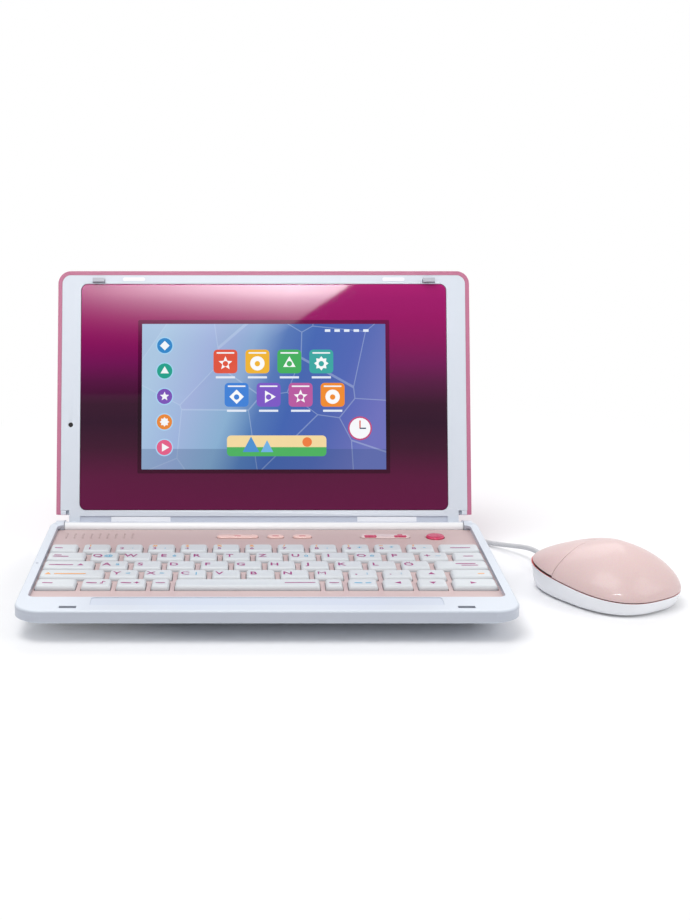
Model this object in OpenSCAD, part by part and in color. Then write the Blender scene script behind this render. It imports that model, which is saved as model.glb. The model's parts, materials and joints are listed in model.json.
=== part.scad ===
// Toy laptop computer: a clamshell with a colour screen, a sixty-key keyboard and a corded mouse.
// Millimetres, +Z up. X = 0 is the laptop's plane of symmetry, Z = 0 is the desk,
// and Y = 0 is the middle of the rear foot strip. The front edge faces -Y.

/* [Base] */
// Width of the base
base_w = 264; // [258:1:280]
// Distance from the rear foot strip to the front edge
base_front = 153; // [150:1:165]
// Distance from the rear foot strip to the rear wall
base_rear = 17.5; // [17:0.5:22]
// Corner radius of the base, seen from above
base_r = 14; // [10:1:18]
// Height of the rim above the desk
rim_z = 18; // [18:0.5:22]
// Height of the top shell's outer side
top_side = 2.9; // [2.6:0.1:3.6]
// Height of the upright part of the bottom shell's side
low_side = 3.2; // [2:0.1:4]
// Wall of the moulded shells
wall = 2; // [1.6:0.1:2.4]
// Radius on the rim's outer edge
rim_round = 1.2; // [0.8:0.1:1.3]
// Height of the rubber feet
foot_h = 1.2; // [0.8:0.1:1.6]
// Width of the rim beside the keyboard
side_rim = 5.2; // [4.6:0.1:7]
// Depth of the lip in front of the keyboard
front_lip = 22.4; // [21:0.2:24]
// How far the deck lies below the rim
deck_drop = 3; // [2.6:0.1:3.4]
// Thickness of the deck
deck_t = 1.6; // [1.2:0.1:1.8]

/* [Keyboard] */
// Distance from one key to the next in a row
key_pitch = 19; // [18:0.25:19]
// Distance from one row to the next
row_pitch = 16.2; // [15.6:0.1:16.6]
// Distance from the hinge axis forward to the rear edge of the keys
keys_set_back = 41.9; // [41:0.1:43]
// Gap between two keys
key_gap = 3.2; // [2.6:0.1:4]
// Height of a keycap above the deck
key_rise = 2.6; // [2:0.1:2.8]
// Travel of a key
key_travel = 1.6; // [1:0.1:1.8]
// Clearance round a key in its hole
key_clear = 0.35; // [0.3:0.05:0.5]

/* [Buttons] */
// Height of the buttons above the deck
button_rise = 1.2; // [0.8:0.1:1.6]
// Travel of the buttons
button_travel = 0.7; // [0.4:0.1:0.8]
// Depth of the three pill buttons
pill_d = 5.6; // [4:0.2:7]
// Length of the volume rocker
rocker_l = 30; // [26:1:32]
// Depth of the volume rocker
rocker_d = 6.4; // [5:0.2:8]
// Radius of the power button
power_r = 5.6; // [4.5:0.1:6]

/* [Lid] */
// How far the lid's side lies inside the base's side
lid_inset = 3; // [2.5:0.1:4.5]
// Thickness of the lid
lid_t = 9.5; // [9.5:0.5:13]
// Corner radius of the lid
lid_r = 8; // [6:0.5:12]
// Width of the coloured rim round the bezel
lid_rim = 2.5; // [2:0.1:3.5]
// How far the lid leans back from upright
lid_tilt = 18; // [5:1:25]
// Radius of the hinge barrel
barrel_r = 3.5; // [3.2:0.1:3.6]
// Radius of the hinge pins
pin_r = 1.6; // [1.2:0.1:1.8]
// Width of the white bezel beside the screen glass
bezel_side = 12; // [8:0.5:20]
// Width of the white bezel above the screen glass
bezel_head = 5.7; // [5:0.1:8]
// Distance from the hinge axis to the foot of the screen glass
glass_foot = 10.8; // [10.8:0.1:14]
// Width of the picture area
lcd_w = 152.4; // [140:0.1:170]
// Height of the picture area
lcd_h = 91.4; // [80:0.1:100]

/* [Mouse] */
// Length of the mouse
mouse_l = 85; // [80:1:92]
// Width of the mouse
mouse_w = 67; // [60:1:70]
// Height of the mouse
mouse_h = 33; // [30:0.5:38]
// Height of the seam between the mouse's white base and its dome, at mid-length
mouse_base_h = 12.3; // [11.5:0.1:13]
// Wall of the mouse's shells
mouse_wall = 2; // [1.6:0.1:2.4]
// Width of the slit between the mouse buttons
slit = 0.7; // [0.5:0.1:1]

/* [Cord] */
// Diameter of the cord
cord_d = 3; // [2.5:0.1:3.5]
// Turns in the stored coil
coil_turns = 5; // [3:1:7]

/* [Hidden] */
$fn = 48;
play = 0.3;
base_d = base_front + base_rear;
base_mid = (base_rear - base_front) / 2;
deck_z = rim_z - deck_drop;
seam_z = rim_z - top_side;
edge_z = seam_z - low_side;
hinge_y = 8;
hinge_z = rim_z + play - 2.8;
face_n = hinge_z - rim_z - play;
trough_r = barrel_r + 0.5;
trough_wall = 1.5;
ledge_z = hinge_z - 3;
well_hw = base_w / 2 - side_rim;
well_front = -base_front + front_lip;
well_rear = hinge_y - trough_r;
lid_foot = 8;
lid_w = base_w - 2 * lid_inset;
lid_h = base_front + hinge_y;
barrel_l = lid_w - 12;
cheek_in = barrel_l / 2 + play;
cheek_out = lid_w / 2 - 0.7;
glass_w = lid_w - 2 * (lid_rim + bezel_side);
glass_h = lid_h - glass_foot - lid_rim - bezel_head;
glass_r = 4;
lcd_foot = glass_foot + (glass_h - lcd_h) / 2;
bezel_t = 3.5;
glass_t = 1.4;
hook_s = lid_h - 6.2;
hook_x = lid_w / 2 - 25.5;
hook_w = 7.4;
hook_t = 1.8;
slot_play = 0.8;
bumper_x = lid_w / 2 - 47.5;
bumper_l = 14;
bumper_d = 2.4;
bumper_s = lid_h - lid_rim - 2.7;
pad_x = lid_w / 2 - 52.6;
pad_l = 36.8;
mic_x = lid_w / 2 - lid_rim - bezel_side / 2;
mic_s = 64;
mic_r = 1.4;
lid_back = -face_n + lid_t;
key_bottom = deck_z - deck_t - 1.1;
membrane_top = key_bottom - key_travel - play;
membrane_t = 1;
plate_t = 0.8;
plate_z = membrane_top - membrane_t - plate_t;
field_w = 2 * well_hw - 2.4;
key_d = row_pitch - key_gap;
row1_y = hinge_y - keys_set_back - key_d / 2;
plate_w = field_w - 8;
plate_d = 5 * row_pitch - 3;
belly_hw = base_w / 2 - 15;
belly_front = base_front - 41;
belly_rear = 15;
floor_t = 1.8;
bay_x = [-48, 46];
bay_y = [-31, -7];
cell_r = 5.2;
cell_l = 44;
button_y = hinge_y - 19.8;
grille_x = 32 - base_w / 2;
grille_y = button_y + 2.8;
strip_w = base_w - 79;
strip_d = 12.2;
strip_y = well_front - 1.1 - strip_d / 2;
foot_strip_l = 150;
foot_strip_d = 8;
front_foot_r = 6;
front_foot_x = base_w / 2 - 40;
front_foot_y = 55 - base_front;
screw_x = base_w / 2 - 20;
screw_front = row_y(4) + 1.2;
screw_rear = -26;
board_w = 120;
board_d = 50;
board_t = 1.2;
board_front = (bay_y[0] - belly_front + 1 - board_d) / 2;
mouse_at = [192.2, -73.6];
mouse_turn = 122;
mouse_lean = 0.09;
mouse_crown_back = 6.7;
mouse_hole_z = 10;
mouse_board_l = 52;
mouse_board_w = 36;
mouse_foot_x = 26;
cross_slit = 0.35;
gland_x = 95;
gland_z = 6.2;
gland_r = 3.1;
gland_flange_r = 4.2;
gland_boss_r = 4.6;
door_tongue = 7;
coil_at = [60, 58];
coil_mean = 16.5;
coil_half_w = (coil_turns / 2 + 1) * cord_d / 2;
coil_tall = 2 * cord_d;

// ---- keyboard layout: each row's key widths in key pitches; a last key fills each row.
// The four upper rows hold as many unit keys as leave that last key at least least_last wide.
field_keys = (field_w + key_gap) / key_pitch;
least_last = 1.05;
function row_of(first) = concat([first], [for (i = [1:floor(field_keys - first - least_last)]) 1]);
rows = [
  row_of(1),
  row_of(1.32),
  row_of(1.67),
  row_of(2.04),
  [1.32, 1, 1, 0.68, field_keys - 9.07, 0.65, 1, 1, 1]
];
function sum_to(v, n, i = 0) = i >= n ? 0 : v[i] + sum_to(v, n, i + 1);
function key_x0(r, k) = -field_w / 2 + key_pitch * sum_to(rows[r], k);
function key_w(r, k) =
  (k < len(rows[r]) ? key_pitch * rows[r][k] : field_w + key_gap - key_pitch * sum_to(rows[r], k)) - key_gap;
function row_y(r) = row1_y - r * row_pitch;
function key_mid(r, k) = key_x0(r, k) + key_w(r, k) / 2;

// ---- general shapes
module rrect(w, d, r) {
  square([w - 2 * r, d], center = true);
  square([w, d - 2 * r], center = true);
  for (x = [-1, 1], y = [-1, 1]) translate([x * (w / 2 - r), y * (d / 2 - r)]) circle(r);
}
module slab(w, d, r, z0, z1) {
  translate([0, 0, z0]) linear_extrude(z1 - z0) rrect(w, d, r);
}
// A rounded-rectangle body whose edge has the profile in children: x from 0 at the corner's centre
module rimmed(w, d, rc, z0, z1) {
  for (x = [0, 1], y = [0, 1])
    mirror([x, 0, 0]) mirror([0, y, 0])
      translate([w / 2 - rc, d / 2 - rc, 0]) rotate_extrude(angle = 90) children();
  for (x = [0, 1]) mirror([x, 0, 0]) translate([w / 2 - rc, d / 2 - rc, 0])
    rotate([90, 0, 0]) linear_extrude(d - 2 * rc) children();
  for (y = [0, 1]) mirror([0, y, 0]) translate([-(w / 2 - rc), d / 2 - rc, 0])
    rotate([90, 0, 90]) linear_extrude(w - 2 * rc) children();
  translate([-(w / 2 - rc), -(d / 2 - rc), z0]) cube([w - 2 * rc, d - 2 * rc, z1 - z0]);
}
module at_lid() {
  translate([0, hinge_y, hinge_z]) rotate([-lid_tilt, 0, 0]) children();
}

// ---- base
module tub(inset, z_top, lift) {
  hull() {
    translate([0, base_mid, 0])
      slab(base_w - 2 * inset, base_d - 2 * inset, base_r - inset, edge_z + lift / 2, z_top);
    translate([0, base_mid, 0])
      slab(base_w - 2 * inset - 3, base_d - 2 * inset - 3, base_r - inset, edge_z - 1.2 + lift, edge_z + lift);
    translate([0, (belly_rear - belly_front) / 2, 0])
      slab(2 * belly_hw - 2 * inset, belly_front + belly_rear - 2 * inset, base_r,
        foot_h + lift, foot_h + lift + 0.2);
  }
}
screw_spots = [for (x = [-screw_x, screw_x], y = [screw_front, screw_rear]) [x, y]];
door_screw_x = bay_x[1] + door_tongue / 2 - 0.5;
module bottom_shell() {
  color("white") difference() {
    union() {
      difference() {
        tub(0, seam_z, 0);
        tub(wall, seam_z + 1, floor_t);
        translate([-cheek_in, hinge_y, ledge_z - trough_wall]) cube([2 * cheek_in, base_rear, base_d]);
      }
      for (p = screw_spots) translate([p[0], p[1], foot_h + 1]) cylinder(r = 4, h = plate_z - foot_h - 1);
      translate([bay_x[0] - wall, bay_y[0] - wall, foot_h + 1])
        cube([bay_x[1] - bay_x[0] + wall + door_tongue, bay_y[1] - bay_y[0] + 2 * wall, 7]);
      translate([gland_x, base_rear - 2 * wall, gland_z]) rotate([-90, 0, 0])
        cylinder(r = gland_boss_r, h = 2 * wall);
    }
    for (p = screw_spots) translate([p[0], p[1], 0]) {
      cylinder(r = 1.6, h = rim_z);
      cylinder(r = 3.2, h = foot_h + 2.4);
    }
    translate([bay_x[0], bay_y[0], 0]) cube([bay_x[1] - bay_x[0], bay_y[1] - bay_y[0], rim_z]);
    translate([bay_x[0], bay_y[0], 0])
      cube([bay_x[1] - bay_x[0] + door_tongue - 1, bay_y[1] - bay_y[0], foot_h + 1.3]);
    translate([door_screw_x, (bay_y[0] + bay_y[1]) / 2, 0]) cylinder(r = 1.3, h = 7);
    translate([gland_x, 0, gland_z]) rotate([-90, 0, 0]) {
      cylinder(r = gland_r + 0.1, h = 2 * base_rear);
      cylinder(r = gland_boss_r - 0.2, h = base_rear - wall);
    }
  }
}
module top_shell() {
  color("white") difference() {
    union() {
      difference() {
        translate([0, base_mid, 0]) rimmed(base_w, base_d, base_r, seam_z, rim_z) union() {
          translate([0, seam_z]) square([base_r, top_side - rim_round]);
          translate([0, seam_z]) square([base_r - rim_round, top_side]);
          translate([base_r - rim_round, rim_z - rim_round]) circle(rim_round);
        }
        translate([0, base_mid, 0])
          slab(base_w - 2 * wall, base_d - 2 * wall, base_r - wall, seam_z - 1, rim_z - wall + 0.4);
      }
      difference() {
        translate([-well_hw - 1.2, well_front - 1.2, deck_z])
          cube([2 * well_hw + 2.4, well_rear - well_front + 1.2, deck_drop - 1]);
        translate([-well_hw - 0.1, well_front - 0.1, 0]) cube([2 * well_hw + 0.2, base_d, base_d]);
      }
      for (s = [-1, 1]) translate([s * (cheek_in + cheek_out) / 2, hinge_y, 0]) intersection() {
        translate([0, 0, hinge_z]) rotate([0, 90, 0])
          cylinder(r = barrel_r + 0.7, h = cheek_out - cheek_in, center = true);
        translate([-wall * 2, -base_rear, seam_z]) cube([wall * 4, 2 * base_rear, rim_z]);
      }
    }
    linear_extrude(3 * rim_z) translate([0, (well_front + well_rear) / 2])
      rrect(2 * well_hw, well_rear - well_front, 4);
    translate([-cheek_in, well_rear - 5, 0]) cube([2 * cheek_in, base_d, 3 * rim_z]);
    for (s = [-1, 1]) {
      translate([s * hook_x - hook_w / 2 - slot_play, hinge_y - hook_s - hook_t / 2 - slot_play, 0])
        cube([hook_w + 2 * slot_play, hook_t + 2 * slot_play, 3 * rim_z]);
      translate([s * cheek_in, hinge_y, hinge_z]) rotate([0, s * 90, 0])
        cylinder(r = pin_r + 0.03, h = cheek_out - cheek_in + 0.5);
    }
    translate([0, strip_y, rim_z - 0.4]) linear_extrude(3) rrect(strip_w, strip_d, 1.5);
    translate([-(well_hw + base_w / 2) / 2, -72, rim_z - 1.1]) cylinder(r = 0.8, h = 3);
  }
}
module trough() {
  intersection() {
    translate([0, hinge_y, hinge_z]) rotate([0, 90, 0]) difference() {
      cylinder(r = trough_r + trough_wall, h = 2 * cheek_in - 0.6, center = true);
      cylinder(r = trough_r, h = base_w, center = true);
    }
    union() {
      translate([-base_w / 2, -base_d, 0]) cube([base_w, base_d + hinge_y, deck_z]);
      translate([-base_w / 2, -base_d, 0]) cube([base_w, 2 * base_d, ledge_z]);
    }
  }
  back_y = hinge_y + sqrt(trough_r * trough_r - 9);
  translate([-cheek_in + 0.3, back_y, ledge_z - trough_wall])
    cube([2 * cheek_in - 0.6, base_rear - back_y - 0.1, trough_wall]);
}
module keyboard_deck() {
  color("mistyrose") {
    difference() {
      translate([0, (well_front + well_rear) / 2, 0])
        slab(2 * well_hw + 2, well_rear - well_front + 2, 3, deck_z - deck_t, deck_z);
      for (r = [0:4], k = [0:len(rows[r])])
        translate([key_x0(r, k) - key_clear, row_y(r) - key_d / 2 - key_clear, 0])
          cube([key_w(r, k) + 2 * key_clear, key_d + 2 * key_clear, 2 * rim_z]);
      for (b = pills) translate([b[0], button_y, 0]) linear_extrude(2 * rim_z) pill(b[1] + 0.6, pill_d + 0.6);
      translate([rocker_x, button_y, 0]) linear_extrude(2 * rim_z) pill(rocker_l + 0.6, rocker_d + 0.6);
      translate([power_x, button_y, 0]) cylinder(r = power_r + play, h = 2 * rim_z);
      for (i = [0:8], j = [0:2]) translate([grille_x - 20 + i * 5, grille_y - 4 + j * 4, 0])
        cylinder(r = 0.8, h = 2 * rim_z);
      translate([-base_w, well_rear - 0.6, 0]) cube([2 * base_w, base_d, base_d]);
    }
  }
  color("white") trough();
}
module key_membrane() {
  color("gainsboro") translate([0, (row_y(0) + row_y(4)) / 2, membrane_top - membrane_t])
    linear_extrude(membrane_t) rrect(plate_w, plate_d, 3);
}
module key_backplate() {
  color("silver") translate([0, (row_y(0) + row_y(4)) / 2, plate_z])
    difference() {
      linear_extrude(plate_t) rrect(plate_w, plate_d, 3);
      for (p = screw_spots) translate([p[0], p[1] - (row_y(0) + row_y(4)) / 2, -1]) cylinder(r = 1.6, h = 5);
    }
}
module main_board() {
  color("seagreen") translate([-board_w / 2, board_front, foot_h + floor_t]) cube([board_w, board_d, board_t]);
  color("black") for (c = [[-40, 12, 16], [-8, 16, 20], [28, 26, 12]])
    translate([c[0], board_front + c[1], foot_h + floor_t + board_t]) cube([c[2], c[2], 1.2]);
}
module speaker() {
  color("dimgray") translate([grille_x, grille_y, 0]) {
    translate([0, 0, foot_h + floor_t]) cylinder(r = 7.5, h = 3.4);
    translate([0, 0, foot_h + floor_t + 3.4]) cylinder(r = 11, h = 2.4);
  }
}
module battery_door() {
  color("white") difference() {
    translate([bay_x[0] + 0.15, bay_y[0] + 0.15, foot_h + 0.1])
      cube([bay_x[1] - bay_x[0] + door_tongue - 1.3, bay_y[1] - bay_y[0] - 0.3, 1.1]);
    translate([door_screw_x, (bay_y[0] + bay_y[1]) / 2, 0]) cylinder(r = 1.3, h = 5);
  }
}
module battery_door_screw() {
  color("silver") translate([door_screw_x, (bay_y[0] + bay_y[1]) / 2, foot_h + 0.1])
    cylinder(r = 1.25, h = 5);
}
module battery_cells() {
  for (i = [0, 1], j = [0, 1]) translate([bay_x[0] + 1.6 + i * (cell_l + 2.4), bay_y[0] + 6.3 + j * 11.4, 0]) {
    translate([0, 0, foot_h + 1.4 + cell_r]) rotate([0, 90, 0]) {
      color("royalblue") cylinder(r = cell_r, h = cell_l - 1);
      color("silver") translate([0, 0, cell_l - 1]) cylinder(r = 1.9, h = 1);
    }
  }
}
module rear_foot_strip() {
  color("gray") linear_extrude(foot_h) rrect(foot_strip_l, foot_strip_d, foot_strip_d / 2 - 0.1);
}
module front_feet() {
  color("gray") for (s = [-1, 1]) translate([s * front_foot_x, front_foot_y, 0])
    cylinder(r = front_foot_r, h = foot_h);
}
module case_screws() {
  color("silver") for (p = screw_spots) translate([p[0], p[1], foot_h + 2.4 - 1.6]) {
    cylinder(r = 2.8, h = 1.6);
    cylinder(r = 1.5, h = 6);
  }
}
module hinge_pins() {
  color("silver") for (s = [-1, 1]) translate([s * (cheek_out - 0.1), hinge_y, hinge_z])
    rotate([0, -s * 90, 0]) cylinder(r = pin_r, h = 17);
}
module cord_gland() {
  color("gray") translate([gland_x, base_rear, gland_z]) rotate([-90, 0, 0]) {
    translate([0, 0, -wall - 1.6]) cylinder(r = gland_flange_r, h = 1.5);
    translate([0, 0, -wall - 0.2]) cylinder(r = gland_r, h = wall + 0.4);
    translate([0, 0, 0.1]) cylinder(r = gland_flange_r, h = 1.6);
    translate([0, 0, 1.7]) cylinder(r1 = gland_r, r2 = 2, h = 10);
  }
}

// ---- keys: lofted from rings of eight points, with a flat top smaller than the foot
function ring8(w, d, c, z) = [
  [w / 2 - c, -d / 2, z], [w / 2, -d / 2 + c, z], [w / 2, d / 2 - c, z], [w / 2 - c, d / 2, z],
  [-w / 2 + c, d / 2, z], [-w / 2, d / 2 - c, z], [-w / 2, -d / 2 + c, z], [-w / 2 + c, -d / 2, z]];
module loft(rings) {
  n = len(rings[0]);
  m = len(rings);
  polyhedron(
    points = [for (r = rings) each r],
    faces = concat(
      [[for (i = [0:n - 1]) i]],
      [for (j = [0:m - 2], i = [0:n - 1])
        [j * n + i, (j + 1) * n + i, (j + 1) * n + (i + 1) % n, j * n + (i + 1) % n]],
      [[for (i = [n - 1:-1:0]) (m - 1) * n + i]]));
}
module key(r, k) {
  w = key_w(r, k);
  top = deck_z + key_rise;
  color("white") translate([key_mid(r, k), row_y(r), 0]) loft([
    ring8(w, key_d, 1.2, key_bottom),
    ring8(w, key_d, 1.2, deck_z + 0.4),
    ring8(w - 1.8, key_d - 1.8, 1.4, top - 0.5),
    ring8(w - 2.8, key_d - 2.8, 1.4, top)]);
}
// The row's unit keys, but for the last few that are nodes of their own
module keys(r, apart = 0) { for (k = [1:len(rows[r]) - 1 - apart]) key(r, k); }

// ---- buttons beside the keyboard
pills = [[-16.2, 25], [6.8, 10], [23, 11.4]];
power_x = well_hw - 23.2;
rocker_x = power_x - 30.4;
button_z = deck_z + button_rise;
button_t = button_rise + deck_t - button_travel - 0.1;
module pill(l, d) {
  square([l - d, d], center = true);
  for (s = [-1, 1]) translate([s * (l - d) / 2, 0]) circle(d / 2);
}
module pill_button(i) {
  color("mistyrose") translate([pills[i][0], button_y, button_z - button_t])
    linear_extrude(button_t) pill(pills[i][1], pill_d);
}
module volume_rocker() {
  color("mistyrose") translate([rocker_x, button_y, button_z - button_t])
    linear_extrude(button_t) pill(rocker_l, rocker_d);
}
module power_button() {
  color("crimson") translate([power_x, button_y, button_z - button_t]) {
    cylinder(r = power_r, h = button_t - 0.6);
    translate([0, 0, button_t - 0.6]) cylinder(r1 = power_r, r2 = power_r - 0.6, h = 0.6);
  }
}

// ---- lid, drawn upright: Z runs up the lid from the hinge axis, Y runs back from the screen
// A plate with rounded upper corners and a straight lower edge
module lid_plate(inset, z0, z1, y0, y1, r) {
  intersection() {
    translate([0, y1, (z0 + z1) / 2 - r]) rotate([90, 0, 0]) linear_extrude(y1 - y0)
      rrect(lid_w - 2 * inset, z1 - z0 - 2 * inset + 2 * r, r);
    translate([-lid_w, y0 - 1, z0 + inset]) cube([2 * lid_w, y1 - y0 + 2, z1]);
  }
}
module lid_back_shell() {
  color("hotpink") at_lid() difference() {
    translate([0, 0, (lid_h + lid_foot) / 2 - lid_r]) rotate([-90, 0, 0])
      rimmed(lid_w, lid_h - lid_foot + 2 * lid_r, lid_r, -face_n, lid_back) union() {
        translate([0, -face_n]) square([lid_r, lid_t - 4]);
        translate([0, -face_n]) square([lid_r - 4, lid_t]);
        translate([lid_r - 4, lid_back - 4]) circle(4);
      }
    lid_plate(lid_rim, lid_foot, lid_h, -face_n - 1, lid_back - 2, lid_r - lid_rim);
    translate([-barrel_l / 2, -face_n - 1, 0]) cube([barrel_l, 3.4, lid_foot + lid_rim + 0.1]);
    translate([-lid_w, -lid_t, lid_foot - 3 * lid_r]) cube([2 * lid_w, 3 * lid_t, 3 * lid_r]);
  }
}
module lid_bezel() {
  color("white") at_lid() difference() {
    union() {
      lid_plate(lid_rim + 0.1, lid_foot, lid_h, -face_n, -face_n + bezel_t, lid_r - lid_rim - 0.1);
      rotate([0, 90, 0]) cylinder(r = barrel_r, h = barrel_l, center = true);
      translate([-barrel_l / 2 + 2, -face_n, 0]) cube([barrel_l - 4, 2.2, lid_foot + lid_rim + 1]);
    }
    translate([0, -face_n + glass_t + 0.2, glass_foot + glass_h / 2]) rotate([90, 0, 0])
      linear_extrude(glass_t + 1.2) rrect(glass_w + 0.4, glass_h + 0.4, glass_r + 0.2);
    translate([-lcd_w / 2 - 2, 0, lcd_foot - 2]) cube([lcd_w + 4, lid_t, lcd_h + 4]);
    translate([9 - barrel_l / 2, -face_n - 1, 3]) cube([barrel_l - 18, 1.7, 4]);
    for (s = [-1, 1]) {
      translate([s * (barrel_l / 2 + 1), 0, 0]) rotate([0, -s * 90, 0]) cylinder(r = pin_r + 0.05, h = 15);
      translate([s * hook_x - hook_w / 2 - play, -face_n - 1, hook_s - hook_t / 2 - play])
        cube([hook_w + 2 * play, 2.5, hook_t + 2 * play]);
    }
    translate([-mic_x, 0, mic_s]) rotate([-90, 0, 0]) cylinder(r = mic_r + 0.1, h = 20);
  }
}
module screen_glass() {
  color("purple", 0.8) at_lid() translate([0, -face_n + 0.1 + glass_t, glass_foot + glass_h / 2])
    rotate([90, 0, 0]) linear_extrude(glass_t) rrect(glass_w, glass_h, glass_r);
}
module lcd_panel() {
  color("midnightblue") at_lid()
    translate([-lcd_w / 2 - 5, -face_n + bezel_t + 0.1, lcd_foot - 5]) cube([lcd_w + 10, 3, lcd_h + 10]);
}
module latch_hooks() {
  color("silver") at_lid() for (s = [-1, 1]) translate([s * hook_x, 0, hook_s]) {
    translate([-hook_w / 2, -face_n - 3, -hook_t / 2]) cube([hook_w, 4.4, hook_t]);
    translate([-hook_w / 2, -face_n - 3, -hook_t / 2]) cube([hook_w, 1, hook_t + 0.6]);
  }
}
module lid_bumpers() {
  color("white") at_lid() for (s = [-1, 1])
    translate([s * bumper_x, -face_n - 0.01, bumper_s]) rotate([90, 0, 0])
      linear_extrude(0.2) pill(bumper_l, bumper_d);
}
module foot_pads() {
  color("gainsboro") at_lid() for (s = [-1, 1])
    translate([s * pad_x - pad_l / 2, -face_n + 0.05, 3.4]) cube([pad_l, 0.6, 3.2]);
}
module microphone() {
  color("black") at_lid() translate([-mic_x, -face_n + 0.4, mic_s]) rotate([-90, 0, 0])
    cylinder(r = mic_r, h = 3);
}

// ---- mouse, drawn with its nose to +X and its middle at the origin
function power(v, e) = sign(v) * pow(abs(v), e);
function mouse_ring(l, w, z, lean, back = 0) = [for (i = [0:35]) let (a = i * 10,
  x = l / 2 * power(cos(a), 0.755) - back) [x, w / 2 * power(sin(a), 0.755), z + lean * x]];
dome_shares = [0, 0.1, 0.22, 0.36, 0.5, 0.64, 0.77, 0.88, 0.96, 0.988];
function dome(l, w, z0, z1, lean) = [for (t = dome_shares) let (k = pow(1 - pow(t, 1.5), 1 / 1.5))
  mouse_ring(l * k, w * k, z0 + (z1 - z0) * t / 0.988, lean * (1 - t), mouse_crown_back * t)];
module mouse_place() { translate([mouse_at[0], mouse_at[1], 0]) rotate([0, 0, mouse_turn]) children(); }
module mouse_body(in_) {
  loft(dome(mouse_l - 2 * in_, mouse_w - 2 * in_, mouse_base_h + (in_ > 0 ? -0.5 : 0.15), mouse_h - in_, mouse_lean));
}
module mouse_dome() {
  difference() { mouse_body(0); mouse_body(mouse_wall); }
}
split_x = 8;
button_gap = 1.2;
// The base's rings: how far each lies inside the seam's outline, its height and its share of the lean
base_rings = [[3.4, 0.8, 0], [2.2, 2.6, 0.2], [1, 7, 0.6]];
module mouse_base() {
  color("white") mouse_place() difference() {
    loft([for (g = base_rings) mouse_ring(mouse_l - 2 * g[0], mouse_w - 2 * g[0], g[1], g[2] * mouse_lean),
      mouse_ring(mouse_l, mouse_w, mouse_base_h, mouse_lean)]);
    loft([for (g = base_rings) let (d = 2 * g[0] + 2 * mouse_wall)
        mouse_ring(mouse_l - d, mouse_w - d, g[1] + mouse_wall - 0.2 + g[2] * 0.4, g[2] * mouse_lean),
      mouse_ring(mouse_l - 2 * mouse_wall, mouse_w - 2 * mouse_wall, mouse_base_h + 1, mouse_lean)]);
    translate([0, 0, -1]) cylinder(r = 4, h = 6);
    translate([mouse_l / 2 - 6, 0, mouse_hole_z]) rotate([0, 90, 0]) cylinder(r = cord_d / 2 + 0.7, h = 12);
  }
}
module mouse_palm_shell() {
  color("pink") mouse_place() difference() {
    mouse_dome();
    translate([split_x, -mouse_w, 0]) cube([mouse_l, 2 * mouse_w, 2 * mouse_h]);
  }
}
module mouse_button(s) {
  color("pink") mouse_place() intersection() {
    mouse_dome();
    translate([split_x + cross_slit, s > 0 ? slit / 2 : -mouse_w - slit / 2, 0])
      cube([mouse_l, mouse_w, 2 * mouse_h]);
    translate([0, -mouse_w, mouse_base_h + button_gap]) rotate([0, -atan(mouse_lean), 0])
      cube([mouse_l, 2 * mouse_w, 2 * mouse_h]);
  }
}
module mouse_board() {
  color("seagreen") mouse_place() difference() {
    translate([-28, -mouse_board_w / 2, 5.2]) cube([mouse_board_l, mouse_board_w, board_t + 0.2]);
    translate([0, 0, 0]) cylinder(r = 4, h = 20);
  }
}
module mouse_feet() {
  color("gray") mouse_place() for (x = [-mouse_foot_x, mouse_foot_x]) translate([x, 0, 0])
    cylinder(r = front_foot_r, h = 0.8);
}
module mouse_lens() {
  color("white") mouse_place() translate([0, 0, 1.4]) cylinder(r = 3.7, h = 5.4);
}

// ---- cord: the route's points, chosen by hand
route_out = [[95, 29.5, 6.2], [95, 33, 5.7], [93.5, 38, 3.8], [90, 43, 2.2], [85.6, 47.8, 1.6],
  [81.8, 53, 1.6], [80.2, 58, 1.6]];
route_back = [[80.2, 58, 4.6], [80.8, 62.5, 4.2], [83, 67.5, 3], [87.5, 71.8, 2], [94, 73.5, 1.6],
  [102, 71.5, 1.6], [110, 66, 1.6], [118, 58, 1.6], [125.5, 48, 1.6], [131, 38, 1.6], [135.5, 29, 1.6],
  [140.6, 20.6, 2], [147.3, 12.3, 3.2], [153.6, 3.2, 5], [158.2, -6.6, 7.2], [160.6, -15.5, 9], [162.3, -22.8, 9.9],
  [164.9, -29.6, 10], [167.6, -34.2, 10], [170.5, -38.8, 10], [172, -41.2, 10]];
function dir(p, i) = let (d = p[min(i + 1, len(p) - 1)] - p[max(i - 1, 0)]) d / norm(d);
module swept(p, d) {
  n = 8;
  loft([for (i = [0:len(p) - 1]) let (t = dir(p, i), c = cross(t, [0, 0, 1]), u = c / norm(c), v = cross(u, t))
    [for (k = [0:n - 1]) p[i] + (u * cos(k * 45) + v * sin(k * 45)) * d / 2]]);
}
module cord() {
  color("lightgray") { swept(route_out, cord_d); swept(route_back, cord_d); }
}
module cord_coil() {
  color("lightgray") translate([coil_at[0], coil_at[1], 0.1]) rotate_extrude() translate([coil_mean - coil_half_w, 0])
    square([2 * coil_half_w, coil_tall]);
}

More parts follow.
